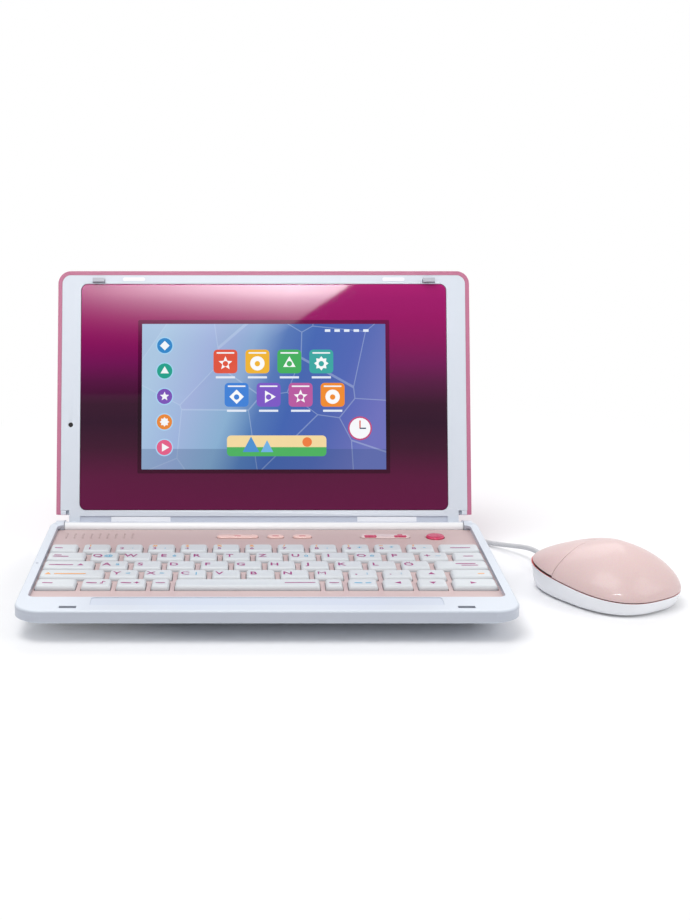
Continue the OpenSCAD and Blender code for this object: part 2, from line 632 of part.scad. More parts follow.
bottom_shell();
top_shell();
keyboard_deck();
key_membrane();
key_backplate();
main_board();
speaker();
battery_door();
battery_door_screw();
battery_cells();
rear_foot_strip();
front_feet();
case_screws();
hinge_pins();
cord_gland();
keys(0);  // number_keys
keys(1);  // upper_letter_keys
keys(2);  // home_letter_keys
keys(3, 1);  // lower_letter_keys
key(0, 0);  // escape_key
key(0, len(rows[0]));  // delete_key
key(1, 0);  // tab_key
key(1, len(rows[1]));  // upper_right_key
key(2, 0);  // caps_key
key(2, len(rows[2]));  // enter_key
key(3, 0);  // left_shift_key
key(3, len(rows[3]) - 1);  // up_arrow_key
key(3, len(rows[3]));  // right_shift_key
key(4, 0);  // control_key
key(4, 1);  // function_key
key(4, 2);  // left_alt_key
key(4, 3);  // left_small_key
key(4, 4);  // space_bar
key(4, 5);  // right_small_key
key(4, 6);  // right_alt_key
key(4, 7);  // left_arrow_key
key(4, 8);  // down_arrow_key
key(4, 9);  // right_arrow_key
pill_button(0);  // left_pill_button
pill_button(1);  // middle_pill_button
pill_button(2);  // right_pill_button
volume_rocker();
power_button();
lid_back_shell();
lid_bezel();
screen_glass();
lcd_panel();
latch_hooks();
lid_bumpers();
foot_pads();
microphone();
mouse_base();
mouse_palm_shell();
mouse_button(1);  // mouse_left_button
mouse_button(-1);  // mouse_right_button
mouse_board();
mouse_feet();
mouse_lens();
cord();
cord_coil();
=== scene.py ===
import json
import math

import bmesh
import bpy
from mathutils import Matrix, Vector


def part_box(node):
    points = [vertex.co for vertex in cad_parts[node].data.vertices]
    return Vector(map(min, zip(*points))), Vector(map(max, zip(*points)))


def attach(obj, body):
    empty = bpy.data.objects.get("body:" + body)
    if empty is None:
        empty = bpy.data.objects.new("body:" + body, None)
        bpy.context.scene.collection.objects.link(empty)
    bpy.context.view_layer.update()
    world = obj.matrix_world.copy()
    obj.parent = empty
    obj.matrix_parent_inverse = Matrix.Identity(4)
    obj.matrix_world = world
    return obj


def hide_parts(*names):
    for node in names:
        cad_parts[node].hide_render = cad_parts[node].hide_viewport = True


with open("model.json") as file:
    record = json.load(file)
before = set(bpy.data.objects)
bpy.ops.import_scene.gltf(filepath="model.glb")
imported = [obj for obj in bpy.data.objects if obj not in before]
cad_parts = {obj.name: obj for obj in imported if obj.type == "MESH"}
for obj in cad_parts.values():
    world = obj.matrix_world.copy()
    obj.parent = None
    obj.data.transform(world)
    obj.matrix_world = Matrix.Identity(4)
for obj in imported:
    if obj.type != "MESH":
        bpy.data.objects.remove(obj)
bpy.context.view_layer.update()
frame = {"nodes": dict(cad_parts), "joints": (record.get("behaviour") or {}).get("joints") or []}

bl_info = {
    "name": "Toy laptop computer",
    "version": (1, 0, 0),
    "blender": (4, 5, 0),
    "location": "View3D > Sidebar > Laptop",
    "description": "Dresses a toy laptop and its mouse with moulded shells, printed keys and a lit screen",
    "category": "Object",
}

MM = 0.001
ACROSS, ALONG, UP = (1, 0, 0), (0, 1, 0), (0, 0, 1)
WHITE = (1, 1, 1, 1)
HINGE = Vector(next(joint["pos_m"] for joint in frame["joints"] if joint["name"] == "lid_hinge"))


def linear(code):
    """A colour written as six hexadecimal digits, as linear red, green, blue and alpha."""
    parts = [int(code[i:i + 2], 16) / 255 for i in (0, 2, 4)]
    return tuple(c / 12.92 if c <= 0.04045 else ((c + 0.055) / 1.055) ** 2.4 for c in parts) + (1,)


def size(name, description, millimetres):
    """A length that the panel shows."""
    return bpy.props.FloatProperty(name=name, description=description, default=millimetres * MM,
                                   unit="LENGTH", subtype="DISTANCE", precision=5)


def paint(name, description, code):
    """A colour that the panel shows."""
    return bpy.props.FloatVectorProperty(name=name, description=description, size=4, subtype="COLOR",
                                         default=linear(code), min=0, max=1)


class LaptopSizes(bpy.types.PropertyGroup):
    lid_tilt: bpy.props.FloatProperty(name="Lid tilt", description="How far the lid leans back",
                                      default=math.radians(18), subtype="ANGLE")
    key_gap: size("Key gap", "Gap between two keys", 3.2)
    key_corner: size("Key corner", "Corner radius of a keycap", 1.3)
    key_dish: size("Key dish", "Depth of the hollow in a keycap's top", 0.25)
    letter: size("Letters", "Size of the letters on the keys", 7)
    sign: size("Signs", "Size of the small signs on the keys", 5)
    glass_corner: size("Glass corner", "Corner radius of the screen glass", 4)
    picture_w: size("Picture width", "Width of the lit picture", 152.4)
    picture_h: size("Picture height", "Height of the lit picture", 91.4)
    mouse_turn: bpy.props.FloatProperty(name="Mouse turn", description="Direction of the mouse's nose",
                                        default=math.radians(122), subtype="ANGLE")
    mouse_l: size("Mouse length", "Length of the mouse", 85)
    mouse_w: size("Mouse width", "Width of the mouse", 67)
    mouse_h: size("Mouse height", "Height of the mouse", 33)
    mouse_base_h: size("Mouse base", "Height of the mouse's white base", 12.3)
    cord_d: size("Cord diameter", "Diameter of the mouse's cord", 3)
    shell_edge: size("Shell edges", "Rounding of the shells' sharp edges", 0.3)
    grain: size("Grain", "Depth of the moulded plastic's grain", 0.03)


class LaptopColours(bpy.types.PropertyGroup):
    shell: paint("Shell", "White plastic of the base, the bezel and the mouse's base", "d3dae4")
    lid: paint("Lid back", "Deep pink plastic of the lid's back", "b96888")
    deck: paint("Deck", "Rose plastic round the keys", "c8b1b0")
    key: paint("Keycaps", "Cool white plastic of the keys", "d2d7db")
    letter: paint("Letters", "Main print on the keys", "9a1b74")
    second: paint("Second print", "Small blue print on the keys", "4fa8cc")
    accent: paint("Accent print", "Orange print on the keys", "eda24c")
    button: paint("Buttons", "Crimson of the power and volume buttons", "cf2358")
    mouse: paint("Mouse", "Pearly rose of the mouse's top", "d6bab8")
    cord: paint("Cord", "Grey of the cord", "cccdd0")


def sizes():
    return bpy.context.scene.toy_laptop_sizes


def colours():
    return bpy.context.scene.toy_laptop_colours


# ---- shader sums


class Value:
    """A node's output that takes part in sums: every operator adds a Math node to its tree."""

    def __init__(self, tree, socket):
        self.tree = tree
        self.socket = socket

    def maths(self, operation, first, second=0.0):
        node = self.tree.nodes.new("ShaderNodeMath")
        node.operation = operation
        connect(self.tree, node.inputs[0], first)
        connect(self.tree, node.inputs[1], second)
        return Value(self.tree, node.outputs[0])

    def __add__(self, other):
        return self.maths("ADD", self, other)

    def __radd__(self, other):
        return self.maths("ADD", other, self)

    def __sub__(self, other):
        return self.maths("SUBTRACT", self, other)

    def __rsub__(self, other):
        return self.maths("SUBTRACT", other, self)

    def __mul__(self, other):
        return self.maths("MULTIPLY", self, other)

    def __rmul__(self, other):
        return self.maths("MULTIPLY", other, self)

    def __truediv__(self, other):
        return self.maths("DIVIDE", self, other)

    def __rtruediv__(self, other):
        return self.maths("DIVIDE", other, self)

    def __gt__(self, other):
        return self.maths("GREATER_THAN", self, other)

    def __lt__(self, other):
        return self.maths("LESS_THAN", self, other)

    def clamped(self):
        held = self.maths("ADD", self, 0.0)
        held.socket.node.use_clamp = True
        return held

    def size(self):
        return self.maths("ABSOLUTE", self)


def connect(tree, socket, value):
    """Links a Value to a socket, or writes a plain number or colour on it."""
    if isinstance(value, Value):
        tree.links.new(value.socket, socket)
    else:
        socket.default_value = value


class Nodes:
    """A tree of nodes under construction, a world's or a material's."""
    end = "OutputWorld"

    def __init__(self, owner):
        self.owner = owner
        self.owner.use_nodes = True
        self.tree = self.owner.node_tree
        self.tree.nodes.clear()

    def node(self, kind, settings=None, values=None, output=0):
        """Adds a node with its settings, a ramp's stops among them, and the values or links of its sockets.
        Gives one of its outputs."""
        node = self.tree.nodes.new("ShaderNode" + kind)
        for key, value in (settings or {}).items():
            if key == "stops":
                while len(node.color_ramp.elements) < len(value):
                    node.color_ramp.elements.new(0.5)
                for element, (position, colour) in zip(node.color_ramp.elements, value):
                    element.position = position
                    element.color = colour
            else:
                setattr(node, key, value)
        for key, value in (values or {}).items():
            connect(self.tree, node.inputs[key], value)
        return Value(self.tree, node.outputs[output]) if len(node.outputs) else None

    def ended(self, shader):
        """Ends the tree in a shader and gives what it belongs to."""
        self.node(self.end, None, {0: shader})
        return self.owner


class Finish(Nodes):
    """A material under construction."""
    end = "OutputMaterial"

    def __init__(self, name):
        super().__init__(bpy.data.materials.new(name))

    def place(self):
        """The point in the piece's own frame, which is the laptop's frame at rest."""
        return self.node("TexCoord", output="Object")

    def along(self, direction):
        """Distance from the origin along a direction."""
        values = {0: self.place(), 1: direction}
        return self.node("VectorMath", {"operation": "DOT_PRODUCT"}, values, output="Value")

    def noise(self, scale, detail=2.0):
        return self.node("TexNoise", None, {"Vector": self.place(), "Scale": scale, "Detail": detail})

    def mix(self, share, first, second, blend="MIX"):
        values = {0: share, 6: first, 7: second}
        return self.node("Mix", {"data_type": "RGBA", "blend_type": blend}, values, output=2)

    def drift(self, share, colour, spread):
        """A colour that drifts between a darker and a lighter tone."""
        return self.mix(share, shade(colour, 1 - spread), shade(colour, 1 + spread))

    def bump(self, height, distance, strength=1.0):
        return self.node("Bump", None, {"Height": height, "Distance": distance, "Strength": strength})

    def surface(self, **values):
        """Ends the material in a shader, whose sockets are named in small letters with underscores."""
        named = {key.replace("_", " ").title().replace("Ior", "IOR"): value for key, value in values.items()}
        return self.ended(self.node("BsdfPrincipled", None, named))


def shade(colour, factor):
    """A colour made darker or lighter by a factor."""
    return tuple(min(1.0, c * factor) for c in colour[:3]) + (1,)


def moulded(finish, tone, rough, broad, **coat):
    """Ends a finish as moulded plastic, with a fine spark-eroded grain and slightly uneven gloss."""
    return finish.surface(base_color=tone, roughness=rough + (broad - 0.5) * 0.16,
                          normal=finish.bump(finish.noise(2600), sizes().grain), **coat)


def plastic(name, colour, rough=0.34, spread=0.05, coat=0.0):
    """Moulded plastic with a slow drift of tone, and a clear coat where it has one."""
    finish = Finish(name)
    broad = finish.noise(14, 3)
    return moulded(finish, finish.drift(broad, colour, spread), rough, broad, coat_weight=coat,
                   coat_roughness=0.08)


def pearl(name, colour):
    """Rose plastic with fine pearl flakes under a thin clear coat."""
    finish = Finish(name)
    flakes = finish.node("TexVoronoi", None, {"Vector": finish.place(), "Scale": 2400.0}, output="Color")
    broad = finish.noise(22)
    tone = finish.mix(0.05, finish.drift(broad, colour, 0.05), flakes, "OVERLAY")
    return finish.surface(base_color=tone, roughness=0.44 + broad * 0.1, coat_weight=0.25,
                          coat_roughness=0.12, sheen_weight=0.15, normal=finish.bump(broad, 0.0002, 0.25))


def ink(name, colour):
    """Pad-printed ink with slightly broken edges of tone."""
    finish = Finish(name)
    cloud = finish.noise(900, 3)
    tone = finish.mix(cloud, shade(colour, 0.85), shade(colour, 1.1))
    return finish.surface(base_color=tone, roughness=0.4 + cloud * 0.1)


def metal(name, colour, rough=0.3):
    finish = Finish(name)
    scratch = finish.noise(700, 4)
    tone = finish.mix(scratch, shade(colour, 0.85), colour)
    return finish.surface(base_color=tone, metallic=1.0, roughness=rough + scratch * 0.2,
                          normal=finish.bump(scratch, 0.00002))


def rubber(name, colour):
    finish = Finish(name)
    pores = finish.noise(1900, 4)
    tone = finish.mix(pores, shade(colour, 0.8), shade(colour, 1.1))
    return finish.surface(base_color=tone, roughness=0.72 + pores * 0.15, normal=finish.bump(pores, 0.0001))


def board(name):
    """Green solder mask with copper tracks under it."""
    finish = Finish(name)
    tracks = finish.node("TexBrick", None, {"Vector": finish.place(), "Scale": 90.0, "Mortar Size": 0.03,
                                            "Color1": linear("1d6b45"), "Color2": linear("17593a"),
                                            "Mortar": linear("4aa36c")})
    return finish.surface(base_color=tracks, roughness=0.35 + finish.noise(300) * 0.1)


# ---- shapes


class Shape:
    """Points and faces that grow, each face with the number of its finish."""

    def __init__(self):
        self.points = []
        self.faces = []
        self.paints = []

    def loft(self, rings, bottom=True, top=True, finish=0):
        """Joins closed rings of equally many points, anticlockwise from above, from the lowest up."""
        start = len(self.points)
        n = len(rings[0])
        for points in rings:
            self.points += [Vector(point) for point in points]
        for j in range(len(rings) - 1):
            for i in range(n):
                a, b = start + j * n + i, start + j * n + (i + 1) % n
                self.face((a, b, b + n, a + n), finish)
        if bottom:
            self.face(tuple(start + i for i in reversed(range(n))), finish)
        if top:
            self.face(tuple(start + (len(rings) - 1) * n + i for i in range(n)), finish)

    def face(self, corners, finish=0):
        self.faces.append(corners)
        self.paints.append(finish)

    def sheet(self, outline, finish=0):
        """One flat face."""
        start = len(self.points)
        self.points += [Vector(point) for point in outline]
        self.face(tuple(range(start, start + len(outline))), finish)

    def merge(self, mesh, finish, move):
        """Takes in a mesh, with each of its points moved by a function."""
        start = len(self.points)
        self.points += [move(vertex.co) for vertex in mesh.vertices]
        for polygon in mesh.polygons:
            self.face(tuple(start + i for i in polygon.vertices), finish)

    def build(self, name, finishes, smooth=True):
        """An object of these points and faces."""
        mesh = bpy.data.meshes.new(name)
        mesh.from_pydata(self.points, [], self.faces)
        for finish in finishes:
            mesh.materials.append(finish)
        for polygon, number in zip(mesh.polygons, self.paints):
            polygon.material_index = number
            polygon.use_smooth = smooth
        return added(name, mesh)


def added(name, data):
    """A new object in the scene, with its data."""
    holder = bpy.data.objects.new(name, data)
    bpy.context.collection.objects.link(holder)
    return holder


def dress(piece, body, slot, *nodes):
    """Puts a piece on its body and hides the nodes that it stands for. The slot is not used."""
    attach(piece, body)
    if nodes:
        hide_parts(*nodes)


def rounded(width, depth, radius, steps=5):
    """A rounded rectangle round the origin, anticlockwise."""
    points = []
    radius = min(radius, width / 2, depth / 2)
    for quarter, (sx, sy) in enumerate(((1, 1), (-1, 1), (-1, -1), (1, -1))):
        for k in range(steps + 1):
            a = math.pi / 2 * (quarter + k / steps)
            points.append((sx * (width / 2 - radius) + radius * math.cos(a),
                           sy * (depth / 2 - radius) + radius * math.sin(a)))
    return points


def ring(width, depth, radius, z, at, steps=5):
    """A rounded rectangle round a place, at a height."""
    return [(at[0] + x, at[1] + y, z) for x, y in rounded(width, depth, radius, steps)]


def soften(*nodes):
    """Rounds the sharp edges of CAD nodes with a narrow bevel."""
    for node in nodes:
        piece = frame["nodes"][node]
        weld = piece.modifiers.new("weld", "WELD")
        weld.merge_threshold = 0.00001
        bevel = piece.modifiers.new("edges", "BEVEL")
        bevel.width = sizes().shell_edge
        bevel.segments = 2
        bevel.limit_method = "ANGLE"
        bevel.angle_limit = math.radians(32)
        bevel.use_clamp_overlap = True


def repaint(finish, *nodes):
    """Gives CAD nodes their finish."""
    for node in nodes:
        mesh = frame["nodes"][node].data
        mesh.materials.clear()
        mesh.materials.append(finish)


def lid_point(x, up, back):
    """A point on the lid: across, up from the hinge axis and back from it."""
    turn = Matrix.Rotation(-sizes().lid_tilt, 4, "X")
    return HINGE + turn @ Vector((x, back, up))


def lid_height(finish):
    """Height on the lid above the hinge axis, as a value in a finish."""
    up = lid_point(0, 1, 0) - HINGE
    return finish.along(up) - HINGE.dot(up)


def lettering(sign, height):
    """A flat mesh of one sign round the origin. Its strokes are a little heavier than the font's, but not the
    4's and the M's, which would fill up."""
    curve = bpy.data.curves.new("letters", "FONT")
    curve.body = sign
    curve.size = height
    curve.align_x = curve.align_y = "CENTER"
    curve.resolution_u = 3
    curve.offset = 0 if sign in "4M" else height * 0.022
    holder = bpy.data.objects.new("letters", curve)
    mesh = bpy.data.meshes.new_from_object(holder)
    bpy.data.objects.remove(holder)
    return mesh


# ---- operators


class Maker:
    """Runs an operator's own make."""
    bl_options = {"REGISTER", "UNDO"}

    def execute(self, context):
        self.make()
        return {"FINISHED"}


class LAPTOP_OT_stage(Maker, bpy.types.Operator):
    """Adds the floor, the lights and the camera"""
    bl_idname = "laptop.stage"
    bl_label = "Stage"

    # each lamp's name, place, aim, width with height, and power
    lamps = [("key", (-0.35, -0.35, 1.3), (0.05, 0, 0.02), (1.0, 0.7), 10),
             ("fill", (1.1, -0.5, 0.8), (0.05, -0.05, 0.02), (0.8, 0.8), 4.5),
             ("back", (0.1, 0.9, 1.0), (0.05, 0, 0), (1.2, 0.5), 5.5)]
    world_light = 0.5

    # the floor's half width and middle, and its fade to white: the least share, where it grows and how fast
    floor_half = 4.0
    floor_middle = (0.05, -0.05, 0)
    fade_least, fade_from, fade_rate = 0.2, 0.2, 2.6

    # the reflector's corners and strength, the height where its glow starts, and where across it peaks
    card = [(-0.34, -1, 0.57), (-0.09, -1, 0.57), (0.175, -1, 0.772), (-0.34, -1, 0.772)]
    card_light = 92.0
    glow_foot, glow_rise = 0.61, 8
    glow_middle, glow_fall = 0.05, 2.6

    # the camera's lens and sensor height, its shift aside, its place, and its dip in degrees
    lens = 58.68
    sensor = 36
    aside = 0.106
    eye = (-0.0102, -0.8834, 0.2775)
    dip = 13.81

    def make(self):
        scene = bpy.context.scene
        scene.view_settings.view_transform = "Standard"
        self.floor()
        self.world(scene)
        for lamp in self.lamps:
            self.lamp(*lamp)
        self.reflector()
        self.camera(scene)

    def floor(self):
        """Paper that takes the shadow and, for the camera alone, fades to white away from the laptop."""
        finish = Finish("paper floor")
        paper = finish.node("BsdfDiffuse", None, {"Color": linear("f2f2f4")})
        glow = finish.node("Emission", None, {"Color": WHITE, "Strength": 1.0})
        apart = finish.node("VectorMath", {"operation": "DISTANCE"},
                            {0: finish.place(), 1: self.floor_middle}, output="Value")
        share = ((apart - self.fade_from) * self.fade_rate + self.fade_least).clamped()
        seen = finish.node("MixShader", None, {0: share, 1: paper, 2: glow})
        rays = finish.node("LightPath", output="Is Camera Ray")
        paint = finish.ended(finish.node("MixShader", None, {0: rays, 1: paper, 2: seen}))
        half = self.floor_half
        shape = Shape()
        shape.sheet([(-half, -half, 0), (half, -half, 0), (half, half, 0), (-half, half, 0)])
        shape.build("floor", [paint], smooth=False)

    def reflector(self):
        """A card with a slanting side, behind the camera, that only glossy surfaces mirror: the streak on the
        glass."""
        finish = Finish("reflector")
        rise = ((finish.along(UP) - self.glow_foot) * self.glow_rise).clamped()
        fall = rise * rise
        middle = (finish.along(ACROSS) - self.glow_middle).size()
        peak = (1 - middle * self.glow_fall).clamped()
        tone = finish.mix(fall * fall * peak, (0.001, 0.001, 0.001, 1), WHITE)
        glow = finish.ended(finish.node("Emission", None, {"Color": tone, "Strength": self.card_light}))
        shape = Shape()
        shape.sheet(self.card)
        card = shape.build("reflector", [glow], smooth=False)
        card.visible_camera = card.visible_diffuse = card.visible_shadow = card.visible_transmission = False

    def world(self, scene):
        """Even light from all round, and white where the camera, a glossy surface or glass sees it."""
        studio = Nodes(bpy.data.worlds.new("studio"))
        rays = ("Is Camera Ray", "Is Transmission Ray", "Is Glossy Ray")
        seen = sum(studio.node("LightPath", output=ray) for ray in rays)
        level = self.world_light + (1 - self.world_light) * seen.clamped()
        scene.world = studio.ended(studio.node("Background", None, {"Color": WHITE, "Strength": level}))

    def lamp(self, name, at, towards, spread, power):
        lamp = bpy.data.lights.new(name, "AREA")
        lamp.shape = "RECTANGLE"
        lamp.size, lamp.size_y = spread
        lamp.energy = power
        holder = added(name, lamp)
        holder.location = at
        holder.rotation_euler = (Vector(towards) - Vector(at)).to_track_quat("-Z", "Y").to_euler()

    def camera(self, scene):
        camera = bpy.data.cameras.new("camera")
        camera.sensor_fit = "VERTICAL"
        camera.sensor_height = self.sensor
        camera.lens = self.lens
        camera.shift_x = self.aside
        scene.camera = added("camera", camera)
        scene.camera.location = self.eye
        scene.camera.rotation_euler = (math.radians(90 - self.dip), 0, 0)


class LAPTOP_OT_cord(Maker, bpy.types.Operator):
    """Lays the mouse's cord, with its spare length in a coil behind the base"""
    bl_idname = "laptop.cord"
    bl_label = "Cord"

    # the cord's route in millimetres, from the base's rear to the coil and from the coil to the mouse
    route_out = [(95, 29.5, 6.2), (95, 33, 5.7), (93.5, 38, 3.8), (90, 43, 2.2), (85.6, 47.8, 1.6),
                 (81.8, 53, 1.6)]
    route_back = [(80.8, 62.5, 4.2), (83, 67.5, 3), (87.5, 71.8, 2), (94, 73.5, 1.6), (102, 71.5, 1.6),
                  (110, 66, 1.6), (118, 58, 1.6), (125.5, 48, 1.6), (131, 38, 1.6), (135.5, 29, 1.6),
                  (140.6, 20.6, 2), (147.3, 12.3, 3.2), (153.6, 3.2, 5), (158.2, -6.6, 7.2),
                  (160.6, -15.5, 9), (162.3, -22.8, 9.9), (164.9, -29.6, 10), (167.6, -34.2, 10),
                  (170.5, -38.8, 10), (172, -41.2, 10)]

    # the coil's middle, turns, outer radius, step inward a turn and share of a turn to climb
    coil_at = (60, 58)
    coil_turns = 5
    coil_outer = 20.25
    coil_step = 3
    coil_climb = 0.25

    # the heights of the coil's two layers, and its points a turn
    layers = 1.6, 4.6
    steps = 16

    def coil(self):
        """The coil's points: turns inward on the floor, then outward on top of them."""
        half = self.coil_turns / 2
        low, high = self.layers
        points = []
        for k in range(self.coil_turns * self.steps + 1):
            turn = k / self.steps
            radius = self.coil_outer - self.coil_step * (turn if turn <= half else self.coil_turns - turn)
            rise = min(1, max(0, (turn - half) / self.coil_climb))
            a = 2 * math.pi * turn
            points.append((self.coil_at[0] + radius * math.cos(a), self.coil_at[1] + radius * math.sin(a),
                           low + (high - low) * rise))
        return points

    def make(self):
        points = [Vector(point) * MM for point in self.route_out + self.coil() + self.route_back]
        curve = bpy.data.curves.new("mouse_cord", "CURVE")
        curve.dimensions = "3D"
        spline = curve.splines.new("BEZIER")
        spline.bezier_points.add(len(points) - 1)
        for bead, point in zip(spline.bezier_points, points):
            bead.co = point
            bead.handle_left_type = bead.handle_right_type = "AUTO"
        spline.resolution_u = 4
        curve.bevel_depth = sizes().cord_d / 2
        curve.bevel_resolution = 3
        curve.use_fill_caps = True
        curve.materials.append(rubber("cord sheath", colours().cord))
        piece = added("mouse_cord", curve)
        dress(piece, "root", "cord_grey", "cord", "cord_coil")


class LAPTOP_OT_base(Maker, bpy.types.Operator):
    """Finishes the base's shells, the deck, the feet and what the base holds"""
    bl_idname = "laptop.base"
    bl_label = "Base"

    # painted shade, a bluish grey, on the recessed strip in the front lip: half its width, its front and
    # rear, and the heights below and above it
    inlay_half = 0.0925
    inlay_front, inlay_rear = -0.1439, -0.1317
    inlay_low, inlay_high = 0.0172, 0.0178

    # the share of painted shade, a grey, on upright faces
    grey = 0.6

    def make(self):
        repaint(self.rim(), "bottom_shell", "top_shell", "battery_door")
        repaint(plastic("rose deck", colours().deck, rough=0.44), "keyboard_deck")
        repaint(rubber("key membrane", linear("cfd2d6")), "key_membrane")
        repaint(metal("pressed steel", linear("b9bcc2")), "key_backplate")
        repaint(board("circuit board"), "main_board")
        repaint(rubber("speaker cloth", linear("d6c4c4")), "speaker")
        repaint(plastic("cell wrap", linear("2f6fb5"), rough=0.25), "battery_cells")
        steel = metal("screw steel", linear("a9adb3"), rough=0.35)
        repaint(steel, "battery_door_screw", "case_screws", "hinge_pins")
        repaint(rubber("grey rubber", linear("84868c")), "rear_foot_strip", "front_feet")
        repaint(rubber("gland rubber", colours().cord), "cord_gland")
        soften("top_shell", "bottom_shell", "keyboard_deck")

    def rim(self):
        """The white shell, with painted shade that greys its upright faces and painted shade, a bluish grey,
        on the recessed strip along the front lip.
        """
        finish = Finish("rim shell")
        broad = finish.noise(14, 3)
        across, along, up = (finish.along(axis) for axis in (ACROSS, ALONG, UP))
        # painted shade, a bluish grey, on the recessed strip in the front lip
        inlay = ((across.size() < self.inlay_half) * (along > self.inlay_front) * (along < self.inlay_rear)
                 * (up > self.inlay_low) * (up < self.inlay_high))
        tone = finish.mix(inlay, finish.drift(broad, colours().shell, 0.03), linear("cdd5e2"))
        # painted shade: faces are mixed toward grey the more upright they stand
        normal = finish.node("NewGeometry", output="Normal")
        level = finish.node("VectorMath", {"operation": "DOT_PRODUCT"}, {0: normal, 1: UP}, output="Value")
        tone = finish.mix((1 - level.size()).clamped() * self.grey, tone, linear("a4a9b6"))
        return moulded(finish, tone, 0.34, broad)


# the unit keys of each row: letters, the orange signs above them and the blue signs beside them, where an
# underscore stands for none
ROWS = {
    "number_keys": ("1234567890ß", "!_#$%&/()=?", "_.,____,+*-"),
    "upper_letter_keys": ("QWERTZUIOP+", "", "@_é___û_ô_~"),
    "home_letter_keys": ("ASDFGHJKLÖ", "", "ä"),
    "lower_letter_keys": ("YXCVBNM,.", "", "<>|____;:"),
}

# the other keys' prints, in millimetres from the key's middle: ink, then a bar's middle and size,
# or a sign's name and middle
MAGENTA, ORANGE, BLUE = range(3)
OTHERS = {
    "escape_key": [(MAGENTA, -3.2, -0.6, 5, 1.3)],
    "tab_key": [(MAGENTA, -5, 1.6, 4.6, 1.2), (MAGENTA, -3.2, -1, 9.4, 1.4)],
    "caps_key": [(MAGENTA, -4.4, -0.6, 14, 1.3), (MAGENTA, "up", 6.6, -0.4)],
    "left_shift_key": [(ORANGE, "up", -13.2, -0.4), (ORANGE, -1, -0.6, 18, 1.4)],
    "control_key": [(MAGENTA, -4.6, -0.4, 6, 1.4)],
    "function_key": [(MAGENTA, -2.6, -0.4, 6, 1.5), (MAGENTA, "note", 3.2, 0.2)],
    "left_alt_key": [(MAGENTA, -2.8, -0.4, 6, 1.5), (MAGENTA, "spark", 3, 0)],
    "left_small_key": [(MAGENTA, 0, -0.4, 5.4, 1.1)],
    "space_bar": [(MAGENTA, 28.6, -0.4, 17, 1.1)],
    "right_small_key": [(MAGENTA, 0, -0.4, 5.6, 1.1)],
    "right_alt_key": [(BLUE, -2.4, -0.4, 4.6, 1.4), (BLUE, 3, -0.4, 3.4, 1.4)],
    "left_arrow_key": [(MAGENTA, "left", 0.2, 0)],
    "down_arrow_key": [(MAGENTA, "down", 0.2, 0)],
    "right_arrow_key": [(MAGENTA, "right", -0.6, 0)],
    "up_arrow_key": [(MAGENTA, "up", 0, 0)],
    "right_shift_key": [(ORANGE, 5.2, -0.4, 4, 1.4)],
    "enter_key": [(MAGENTA, 2.6, 1.4, 11.6, 1.3), (MAGENTA, 4.6, -1.6, 9.6, 1.3)],
    "upper_right_key": [(MAGENTA, 0, -0.6, 6, 1.3)],
    "delete_key": [(MAGENTA, 0.6, -0.6, 12, 1.2)],
}

# outlines of the drawn signs in millimetres, round the origin
SIGNS = {
    "left": [[(-1.9, 0), (1.6, -1.9), (1.6, 1.9)]],
    "right": [[(-1.6, -1.9), (1.9, 0), (-1.6, 1.9)]],
    "up": [[(-1.9, -1.5), (1.9, -1.5), (0, 2)]],
    "down": [[(-1.9, 1.5), (0, -2), (1.9, 1.5)]],
    "note": [[(-1.2, -1.8), (0.4, -1.8), (0.4, -0.4), (-1.2, -0.4)],
             [(-0.2, -0.4), (0.4, -0.4), (0.4, 2.4), (-0.2, 2.4)],
             [(0.4, 1.4), (1.6, 0.9), (1.6, 1.7), (0.4, 2.4)]],
    "spark": [[(0, -2), (0.6, -0.6), (2, 0), (0.6, 0.6), (0, 2), (-0.6, 0.6), (-2, 0), (-0.6, -0.6)]],
}


